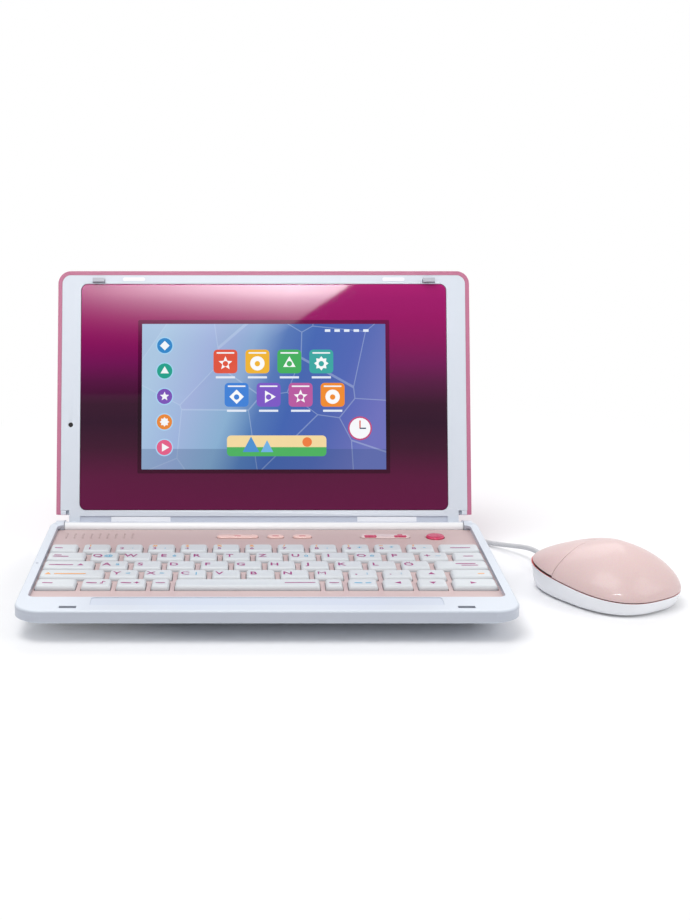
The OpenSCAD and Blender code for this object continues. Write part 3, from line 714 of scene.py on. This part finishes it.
class LAPTOP_OT_keys(Maker, bpy.types.Operator):
    """Moulds the dished keycaps and prints their signs"""
    bl_idname = "laptop.keys"
    bl_label = "Keys"

    # a cap's rounded side in millimetres, as the way in and the way down from its top
    side = [(0, 1.8), (0.2, 1), (0.45, 0.55), (0.7, 0.25), (0.9, 0.1), (1.25, 0)]

    # the rings of the hollow in a cap, as shares of its top's size
    hollow = (0.85, 0.6, 0.3, 0.05)

    # the printed field's way in from the cap's edge, and the print's lift off the cap
    margin = 0.0009
    lift = 0.00004

    # a letter's and a side sign's place across, as shares of the printed field's width
    letter_at, sign_at = -0.28, 0.16

    # a letter's way down and share of its size under a sign, and that sign's way up and share of its size
    letter_down, letter_share = 0.002, 0.72
    sign_up, sign_share = 0.003, 0.9

    def make(self):
        cap = plastic("keycap", colours().key, rough=0.42, spread=0.02)
        inks = [ink("magenta ink", colours().letter), ink("orange ink", colours().accent),
                ink("blue ink", colours().second)]
        gap = sizes().key_gap
        for node in list(ROWS) + list(OTHERS):
            low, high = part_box(node)
            count = len(ROWS[node][0]) if node in ROWS else 1
            width, depth = (high[0] - low[0] - (count - 1) * gap) / count, high[1] - low[1]
            self.field = width - 2 * self.margin, depth - 2 * self.margin, high[2]
            caps, marks = Shape(), Shape()
            for k in range(count):
                at = (low[0] + width / 2 + k * (width + gap), (low[1] + high[1]) / 2)
                self.cap(caps, at, width, depth, low[2], high[2])
                if node in ROWS:
                    self.letters(marks, at, *(row[k:k + 1] for row in ROWS[node]))
                else:
                    self.prints(marks, at, OTHERS[node])
            dress(caps.build(node + "_caps", [cap]), node, "keycap", node)
            dress(marks.build(node + "_signs", inks), node, "keycap")

    def cap(self, shape, at, width, depth, bottom, top):
        """A keycap with upright sides, a rounded shoulder and a hollow top."""
        corner = sizes().key_corner
        levels = [(0, bottom)] + [(inset * MM, top - down * MM) for inset, down in self.side]
        rings = [ring(width - 2 * inset, depth - 2 * inset, corner, z, at) for inset, z in levels]
        wide, deep = width - 2 * levels[-1][0], depth - 2 * levels[-1][0]
        for share in self.hollow:
            spots = [(x * share, y * share) for x, y in rounded(wide, deep, corner)]
            rings.append([(at[0] + x, at[1] + y, self.height(x, y, wide, deep, top)) for x, y in spots])
        shape.loft(rings)

    def height(self, x, y, wide, deep, top):
        """Height of a keycap's hollow top at a point from its middle."""
        across = min(1, max(abs(2 * x / wide), abs(2 * y / deep)))
        return top - sizes().key_dish * math.cos(across * math.pi / 2)

    def onto(self, at, x, y):
        """A point of print on a keycap, from the cap's middle."""
        return Vector((at[0] + x, at[1] + y, self.height(x, y, *self.field) + self.lift))

    def letters(self, shape, at, main, above, beside):
        """A unit key's letter, smaller and lower where a sign stands above it, and the sign beside it."""
        letter_x, sign_x = self.letter_at * self.field[0], self.sign_at * self.field[0]
        letter_y, share = (-self.letter_down, self.letter_share) if above else (0, 1)
        spots = [(main, MAGENTA, letter_x, letter_y, sizes().letter * share),
                 (above, ORANGE, letter_x, self.sign_up, sizes().sign * self.sign_share),
                 (beside, BLUE, sign_x, 0, sizes().sign)]
        for sign, finish, x, y, height in spots:
            if sign not in ("", "_"):
                shape.merge(lettering(sign, height), finish,
                            lambda point, x=x, y=y: self.onto(at, x + point.x, y + point.y))

    def prints(self, shape, at, marks):
        """The bars and drawn signs of a key that has no letter."""
        for finish, *mark in marks:
            if mark[0] in SIGNS:
                outlines, (x, y) = SIGNS[mark[0]], mark[1:]
            else:
                x, y, wide, deep = mark
                outlines = [rounded(wide, deep, deep / 2, 2)]
            for outline in outlines:
                shape.sheet([self.onto(at, (x + u) * MM, (y + v) * MM) for u, v in outline], finish)


class LAPTOP_OT_buttons(Maker, bpy.types.Operator):
    """Moulds the pill buttons, the volume rocker and the power button"""
    bl_idname = "laptop.buttons"
    bl_label = "Buttons"

    # raised bars, in millimetres: the place along the button as a share, the width and the depth
    dash = [(0.5, 4, 1.4)]
    minus_and_plus = [(0.2, 7.4, 4.2), (0.8, 7.4, 3.2), (0.8, 3.2, 5)]

    # a bar's corner, its foot and top over the button, and how far each bar clears the last, in millimetres
    bar_corner = 0.7
    bar_foot, bar_top = -0.9, 0.1
    clear_back, clear_up = 0.05, 0.03

    # the rounding of a button's rim, and the flat strip inside it
    edge = 0.0008
    strip = 0.0006

    def make(self):
        salmon = plastic("salmon button", linear("efc8c1"), rough=0.28, coat=0.3)
        printed = ink("button print", linear("d27f86"))
        crimson = plastic("crimson button", colours().button, rough=0.22, spread=0.03, coat=0.6)
        gloss = plastic("rose rocker", linear("e3cccc"), rough=0.2, coat=0.5)
        for node in ("left_pill_button", "middle_pill_button", "right_pill_button"):
            self.pill(node, salmon, "deck_rose")
            self.marks(node, printed, self.dash, "deck_rose", back=1)
        self.pill("volume_rocker", gloss, "deck_rose")
        self.marks("volume_rocker", crimson, self.minus_and_plus, "crimson_button", back=0.06)
        self.pill("power_button", crimson, "crimson_button")

    def marks(self, node, finish, bars, slot, back):
        """Raised bars on a button, some way back from its edge. No two of their faces share a plane."""
        low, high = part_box(node)
        shape = Shape()
        for k, (share, wide, deep) in enumerate(bars):
            at = (low[0] + (high[0] - low[0]) * share, low[1] + (deep / 2 + back + self.clear_back * k) * MM)
            shape.loft([ring(wide * MM, deep * MM, self.bar_corner * MM, high[2] + rise * MM, at)
                        for rise in (self.bar_foot, self.bar_top + self.clear_up * k)])
        dress(shape.build(node + "_marks", [finish], smooth=False), node, slot)

    def pill(self, node, finish, slot):
        """A button with full round ends and a rounded rim."""
        low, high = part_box(node)
        at = ((low[0] + high[0]) / 2, (low[1] + high[1]) / 2)
        wide, deep = high[0] - low[0], high[1] - low[1]
        levels = [(0, low[2])]
        for k in range(7):
            a = math.radians(15 * k)
            levels.append((self.edge * (1 - math.cos(a)), high[2] - self.edge + self.edge * math.sin(a)))
        levels.append((self.edge + self.strip, high[2]))
        shape = Shape()
        shape.loft([ring(wide - 2 * i, deep - 2 * i, deep / 2 - i, z, at, 8) for i, z in levels])
        dress(shape.build(node + "_cap", [finish]), node, slot, node)


class LAPTOP_OT_lid(Maker, bpy.types.Operator):
    """Finishes the lid's back, bezel, hooks and pads"""
    bl_idname = "laptop.lid"
    bl_label = "Lid"

    # two low bands, the white plastic at the foot of the lid's back and the painted shade in the bezel's
    # groove: half their width, and their lowest and highest edge from the hinge axis
    white_end = 0.1262, 0, 0.0107
    blue_strip = 0.1143, 0.0029, 0.0071

    # how far back from the hinge axis the bands reach
    front = 0.0075

    def make(self):
        white, pink = colours().shell, colours().lid
        repaint(self.banded("lid pink", pink, white, 0.42, self.white_end, 0), "lid_back_shell")
        # the bezel's band is painted shade, a bluish grey, in the groove at its foot
        repaint(self.banded("bezel white", white, linear("c6ccda"), 0.36, self.blue_strip, 0.8), "lid_bezel")
        repaint(metal("panel frame", linear("55585e")), "lcd_panel")
        repaint(plastic("hook grey", linear("b3b6c0"), rough=0.4), "latch_hooks")
        repaint(plastic("pad white", linear("eef0f6"), rough=0.5), "lid_bumpers", "foot_pads")
        repaint(rubber("microphone", linear("1c1618")), "microphone")
        soften("lid_back_shell", "lid_bezel")

    def banded(self, name, colour, other, rough, band, foot):
        """Plastic with another tone in a low band near the lid's front, white plastic on the lid's back and
        painted shade on the bezel, and with painted highlight that whitens it by a share below the band.
        """
        half, low, high = band
        finish = Finish(name)
        broad = finish.noise(14, 3)
        rise = lid_height(finish)
        back = lid_point(0, 0, 1) - HINGE
        depth = finish.along(back) - HINGE.dot(back)
        inside = (finish.along(ACROSS).size() < half) * (rise > low) * (rise < high) * (depth < self.front)
        tone = finish.mix(inside, finish.drift(broad, colour, 0.04), other)
        # painted highlight: below the band the tone is whitened by a share, which on the bezel lights the
        # hinge barrel
        return moulded(finish, finish.mix((rise < low) * foot, tone, linear("f7f7f7")), rough, broad)


class LAPTOP_OT_screen(Maker, bpy.types.Operator):
    """Prints the glass and lights the picture behind it"""
    bl_idname = "laptop.screen"
    bl_label = "Screen"

    # the glass's bevel, its gloss, and the lifts of the picture's layers and of each sign over the last one
    bevel = 0.0004
    gloss = {"roughness": 0.03, "specular_ior_level": 0.11}
    layer = 0.00003
    sign_lift = 0.0000015

    # tones by height on the glass, and across the picture
    plum = [(0.0, "641343"), (0.14, "5c163e"), (0.27, "40162f"), (0.38, "32122a"), (0.46, "38142c"),
            (0.56, "561842"), (0.64, "701653"), (0.74, "861159"), (0.84, "950f60"), (0.93, "9c1466"),
            (1.0, "a81c6c")]
    sky = [(0.0, "a9c4df"), (0.2, "9fb0da"), (0.38, "86a9cf"), (0.5, "4f76b4"), (0.62, "3d62ae"),
           (0.8, "4a62b0"), (1.0, "6a70b8")]

    # the picture's facets and their seams, and the top of the strip at its foot
    facet = 22.0
    seam = 0.006
    strip = -0.36

    # how much larger than the picture the painted shade round it is, and the corners of both
    border = 0.005
    border_corner, picture_corner = 0.0008, 0.0002

    def make(self):
        glass = frame["nodes"]["screen_glass"].data
        turn = Matrix.Rotation(sizes().lid_tilt, 4, "X")
        corners = [turn @ (vertex.co - HINGE) for vertex in glass.vertices]
        self.low = Vector([min(c[i] for c in corners) for i in range(3)])
        self.high = Vector([max(c[i] for c in corners) for i in range(3)])
        self.middle = (self.low.z + self.high.z) / 2
        self.glass()
        self.picture()

    def on_glass(self, x, up, lift):
        """A point on the glass's front: across and up from its middle, and in front of it."""
        return lid_point(x, self.middle + up, self.low.y - lift)

    def glass(self):
        wide, tall = self.high.x - self.low.x, self.high.z - self.low.z
        corner, bevel = sizes().glass_corner, self.bevel
        levels = [(0, self.high.y), (0, self.low.y + bevel), (bevel * 0.3, self.low.y + bevel * 0.3),
                  (bevel, self.low.y)]
        shape = Shape()
        shape.loft([[lid_point(x, self.middle + z, back)
                     for x, z in rounded(wide - 2 * inset, tall - 2 * inset, corner - inset, 8)]
                    for inset, back in levels])
        piece = shape.build("printed_glass", [self.printed("glass print", 1.0)], smooth=False)
        dress(piece, "lid", "screen_glass", "screen_glass")

    def printed(self, name, depth):
        """Print under gloss: magenta at the top, near-black plum at two fifths of the height and wine at the
        foot, all darkened by a factor. A factor below 1 paints shade."""
        finish = Finish(name)
        share = (lid_height(finish) - self.low.z) / (self.high.z - self.low.z)
        cloud = finish.noise(9, 1) - 0.5
        stops = [(at, shade(linear(code), depth)) for at, code in self.plum]
        ramp = finish.node("ValToRGB", {"stops": stops}, {0: share + cloud * 0.04})
        return finish.surface(base_color=ramp, **self.gloss)

    def lit(self, finish, tone):
        """A lit patch of the picture, with the glass's gloss in front of it."""
        return finish.surface(base_color=(0.01, 0.01, 0.012, 1), emission_color=tone, emission_strength=1.0,
                              **self.gloss)

    def sign_colour(self, code):
        """A lit colour in a slight drift of tone."""
        finish = Finish("lit " + code)
        colour = linear(code)
        return self.lit(finish, finish.mix(finish.noise(300, 1), shade(colour, 0.96), colour))

    def wallpaper(self):
        """Lavender and teal at the left and royal blue at the right, in faint facets with pale seams, and a
        darker strip at the foot."""
        finish = Finish("wallpaper")
        height = (lid_height(finish) - self.middle) / sizes().picture_h
        across = finish.along(ACROSS) / sizes().picture_w
        cells = {"Vector": finish.place(), "Scale": self.facet}
        facets = finish.node("TexVoronoi", None, cells, output="Color")
        seams = finish.node("TexVoronoi", {"feature": "DISTANCE_TO_EDGE"}, cells)
        stops = [(at, linear(code)) for at, code in self.sky]
        base = finish.node("ValToRGB", {"stops": stops}, {0: across + 0.5 - height * 0.22})
        wash = finish.mix(0.07, base, facets, "SOFT_LIGHT")
        wash = finish.mix((seams < self.seam) * 0.25, wash, linear("cfe0f4"))
        wash = finish.mix((height < self.strip) * 0.35, wash, linear("274a7c"))
        return self.lit(finish, wash)

    def picture(self):
        """The painted shade round the picture, a darker copy of the glass print, then the picture and its
        signs, each a little in front of the last.
        """
        wide, tall = sizes().picture_w, sizes().picture_h
        border, view, signs = Shape(), Shape(), Shape()
        surround = rounded(wide + self.border, tall + self.border, self.border_corner, 3)
        # painted shade: a sheet of the glass print at half its tone, where the display's recess is in shade
        border.sheet([self.on_glass(x, z, self.layer) for x, z in surround])
        dress(border.build("picture_border", [self.printed("border print", 0.5)]), "lid", "screen_glass")
        outline = rounded(wide, tall, self.picture_corner, 1)
        view.sheet([self.on_glass(x, z, 2 * self.layer) for x, z in outline])
        dress(view.build("picture", [self.wallpaper()]), "lid", "picture_panel")
        codes = list(dict.fromkeys(colour for *_, colour in ICONS))
        for k, (kind, x, z, width, height, colour) in enumerate(ICONS):
            lift = 3 * self.layer + k * self.sign_lift
            spots = [((x + u * width) * MM, (z + v * height) * MM) for u, v in OUTLINES[kind]]
            signs.sheet([self.on_glass(across, up, lift) for across, up in spots], codes.index(colour))
        finishes = [self.sign_colour(code) for code in codes]
        dress(signs.build("picture_icons", finishes), "lid", "picture_panel")


def star(points, inner, turn=90.0):
    """A star's outline with a reach of a half, or a polygon's where inner is 1."""
    outline = []
    for k in range(2 * points):
        a = math.radians(turn + 180 * k / points)
        reach = 0.5 * (inner if k % 2 else 1)
        outline.append((reach * math.cos(a), reach * math.sin(a)))
    return outline


# outlines of the picture's motifs, one unit wide and high, round the origin
SCENE_W, SCENE_H, SCENE_CORNER, SKYLINE = 62, 13, 2.4, -0.8
SCENE = rounded(SCENE_W, SCENE_H, SCENE_CORNER, 3)
OUTLINES = {
    "tile": rounded(1, 1, 0.16, 3),
    "panel": [(x / SCENE_W, y / SCENE_H) for x, y in SCENE],
    "ground": [(x / SCENE_W, min(y, SKYLINE) / SCENE_H) for x, y in SCENE],
    "bar": rounded(1, 1, 0.02, 1),
    "disc": rounded(1, 1, 0.5, 6),
    "star": star(5, 0.45),
    "flower": star(8, 0.7),
    "gem": star(2, 1),
    "peak": star(3, 0.5),
    "play": star(3, 0.5, 0),
}


def icons():
    """The lit picture in millimetres from its middle: tiles in two staggered rows, buttons down the left, a
    clock, a plain scene and a top bar. Each entry is an outline, its middle, its width, height and colour."""
    drawn = []
    tiles = ("e0543c", "f0b429", "3fae5a", "35a6a0", "3b7fd6", "7b55c4", "b8579f", "f08a24")
    signs = ("star", "disc", "peak", "flower", "gem", "play", "star", "disc")
    for k, (tile, sign) in enumerate(zip(tiles, signs)):
        x, z = -24 + 20 * (k % 4) + 7 * (k // 4), 22 - 21 * (k // 4)
        drawn += [("tile", x, z, 15, 15, tile), ("bar", x, z + 5.4, 11, 0.9, "f4f7fb"),
                  (sign, x, z - 1.2, 9, 9, "fbfcfd"), ("disc", x, z - 1.4, 3.4, 3.4, tile),
                  ("bar", x, z - 10, 12, 1.3, "e4ebf7")]
    buttons = (("2f86c9", "gem"), ("1fa08a", "peak"), ("7a4fb5", "star"), ("e8862e", "flower"),
               ("e25c86", "play"))
    for k, (colour, sign) in enumerate(buttons):
        z = 32 - 16 * k
        drawn += [("disc", -62, z, 11, 11, "a8d4f2"), ("disc", -62, z, 9.6, 9.6, colour),
                  (sign, -62, z, 6, 6, "f6f8fb")]
    drawn += [("disc", 60, -20, 15, 15, "c2497b"), ("disc", 60, -20, 13, 13, "f7f9fc"),
              ("bar", 60, -17.6, 0.8, 5, "d8452f"), ("bar", 61.8, -20, 4, 0.8, "2b3c5e")]
    drawn += [("panel", 8, -31, 62, 13, "f3d9a0"), ("ground", 8, -31, 62, 13, "49b05c"),
              ("peak", -8, -31.6, 12, 13, "4a8fd0"), ("peak", 2, -32.4, 9, 10, "6fb1e4"),
              ("disc", 27, -28.6, 6, 6, "ee7b3a")]
    drawn += [("bar", 40 + 6 * k, 41.5, 3.4, 1.6, "e6eefb") for k in range(5)]
    return drawn


ICONS = icons()


class LAPTOP_OT_mouse(Maker, bpy.types.Operator):
    """Moulds the mouse's palm shell, its two buttons and its base"""
    bl_idname = "laptop.mouse"
    bl_label = "Mouse"

    # the edge's lean toward the nose, the crown's way back, and where the buttons start
    lean = 0.09
    crown_back = 0.0067
    split = 0.008

    # the slits beside and behind the buttons, and how far the palm shell and they stand off the base
    slit = 0.0007
    cross_slit = 0.00035
    palm_lift = 0.0005
    button_lift = 0.0012

    # bends of the outline and of the dome, and the share of the dome's height where its rings end
    outline_bend = 0.755
    dome_bend = 1.5
    last_ring = 0.996

    # the top's wall and rounded edges, and the points in a ring and the rings of its dome
    wall = 0.0016
    edge = 0.00025
    around = 96
    rows = 28

    def make(self):
        low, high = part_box("mouse_lens")
        self.at = Vector(((low[0] + high[0]) / 2, (low[1] + high[1]) / 2, 0))
        self.turn = Matrix.Rotation(sizes().mouse_turn, 4, "Z")
        rose = pearl("mouse rose", colours().mouse)
        self.shell("mouse_palm", "mouse_palm_shell", "root", rose, [((-1, 0), -self.split)], self.palm_lift)
        ahead = ((1, 0), self.split + self.cross_slit)
        for side, node in ((1, "mouse_left_button"), (-1, "mouse_right_button")):
            beside = ((0, side), self.slit / 2)
            self.shell(node + "_cap", node, node, rose, [ahead, beside], self.button_lift)
        self.base()
        repaint(rubber("mouse feet", linear("6f7278")), "mouse_feet")
        repaint(board("mouse board"), "mouse_board")
        repaint(plastic("clear lens", linear("dfe6ea"), rough=0.1, coat=1.0), "mouse_lens")

    def rim(self, length, width, z, lean, back=0.0):
        """A closed superellipse with its nose along +X, leaning up toward the nose."""
        points = []
        for k in range(self.around):
            a = 2 * math.pi * k / self.around
            c, s = math.cos(a), math.sin(a)
            x = math.copysign(abs(c) ** self.outline_bend, c) * length / 2 - back
            y = math.copysign(abs(s) ** self.outline_bend, s) * width / 2
            points.append(Vector((x, y, z + lean * x)))
        return points

    def placed(self, point):
        """A point of the mouse in its own frame, where the mouse lies."""
        return self.at + self.turn @ Vector(point)

    def dome(self):
        """Rings of the mouse's top, from its edge up to its crown."""
        rings = []
        foot = sizes().mouse_base_h
        rise = sizes().mouse_h - foot
        for j in range(self.rows + 1):
            t = self.last_ring * math.sin(math.pi / 2 * j / self.rows)
            share = (1 - t ** self.dome_bend) ** (1 / self.dome_bend)
            rings.append(self.rim(sizes().mouse_l * share, sizes().mouse_w * share,
                                  foot + rise * t / self.last_ring, self.lean * (1 - t), self.crown_back * t))
        return rings

    def shell(self, name, node, body, finish, cuts, lift):
        """The part of the top past every cut, given by a direction and a distance, made thick inward."""
        shape = Shape()
        shape.loft(self.dome(), bottom=False)
        piece = shape.build(name, [finish])
        planes = [(Vector((nx, ny, 0)), Vector((nx, ny, 0)) * distance) for (nx, ny), distance in cuts]
        planes.append((Vector((-self.lean, 0, 1)), Vector((0, 0, sizes().mouse_base_h + lift))))
        bm = bmesh.new()
        bm.from_mesh(piece.data)
        for normal, point in planes:
            everything = bm.verts[:] + bm.edges[:] + bm.faces[:]
            bmesh.ops.bisect_plane(bm, geom=everything, plane_co=point, plane_no=normal, clear_inner=True)
        for vertex in bm.verts:
            vertex.co = self.placed(vertex.co)
        bm.to_mesh(piece.data)
        bm.free()
        wall = piece.modifiers.new("wall", "SOLIDIFY")
        wall.thickness = self.wall
        wall.offset = -1
        edge = piece.modifiers.new("edge", "BEVEL")
        edge.width = self.edge
        edge.segments = 3
        edge.angle_limit = math.radians(50)
        dress(piece, body, "mouse_rose", node)

    def base(self):
        """The white base up to its rim, and the ledge inside the rim, which shows as a red seam."""
        top = sizes().mouse_base_h / MM
        # rings in millimetres: how much smaller than the mouse, the height, and the share of the lean
        white = [(10, 0.8, 0), (7.6, 0.95, 0), (5.4, 1.8, 0.1), (4, 3, 0.25), (2.8, 5, 0.4), (2, 7, 0.6),
                 (0.9, 9.8, 0.82), (0.1, top - 0.6, 1), (0.2, top - 0.1, 1)]
        seam = [(0.2, top - 0.1, 1), (1.4, top - 0.1, 1), (3.4, top - 1.3, 1), (4, top - 3, 1)]
        shape = Shape()
        length, width = sizes().mouse_l, sizes().mouse_w
        for finish, rows in enumerate((white, seam)):
            rims = [self.rim(length - less * MM, width - less * MM, z * MM, lean * self.lean)
                    for less, z, lean in rows]
            rings = [[self.placed(point) for point in rim] for rim in rims]
            shape.loft(rings, bottom=rows is white, top=False, finish=finish)
        finishes = [plastic("mouse white", linear("eef0f4"), rough=0.25, coat=0.3),
                    plastic("seam rose", linear("e0706f"), rough=0.4)]
        dress(shape.build("mouse_base_shell", finishes), "root", "white_shell", "mouse_base")


STEPS = (LAPTOP_OT_stage, LAPTOP_OT_cord, LAPTOP_OT_base, LAPTOP_OT_keys, LAPTOP_OT_buttons, LAPTOP_OT_lid,
         LAPTOP_OT_screen, LAPTOP_OT_mouse)


class LAPTOP_PT_panel(bpy.types.Panel):
    """Lists the sizes, the colours and the steps"""
    bl_idname = "LAPTOP_PT_panel"
    bl_label = "Toy laptop"
    bl_space_type = "VIEW_3D"
    bl_region_type = "UI"
    bl_category = "Laptop"

    def draw(self, context):
        for group in (context.scene.toy_laptop_sizes, context.scene.toy_laptop_colours):
            for name in group.__annotations__:
                self.layout.prop(group, name)
        for step in STEPS:
            self.layout.operator(step.bl_idname)


CLASSES = (LaptopSizes, LaptopColours) + STEPS + (LAPTOP_PT_panel,)


def register():
    for cls in CLASSES:
        bpy.utils.register_class(cls)
    bpy.types.Scene.toy_laptop_sizes = bpy.props.PointerProperty(type=LaptopSizes)
    bpy.types.Scene.toy_laptop_colours = bpy.props.PointerProperty(type=LaptopColours)


def unregister():
    del bpy.types.Scene.toy_laptop_colours
    del bpy.types.Scene.toy_laptop_sizes
    for cls in reversed(CLASSES):
        bpy.utils.unregister_class(cls)


def main():
    register()
    for step in STEPS:
        getattr(bpy.ops.laptop, step.bl_idname.split(".")[1])()
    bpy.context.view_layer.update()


if __name__ == "__main__":
    main()
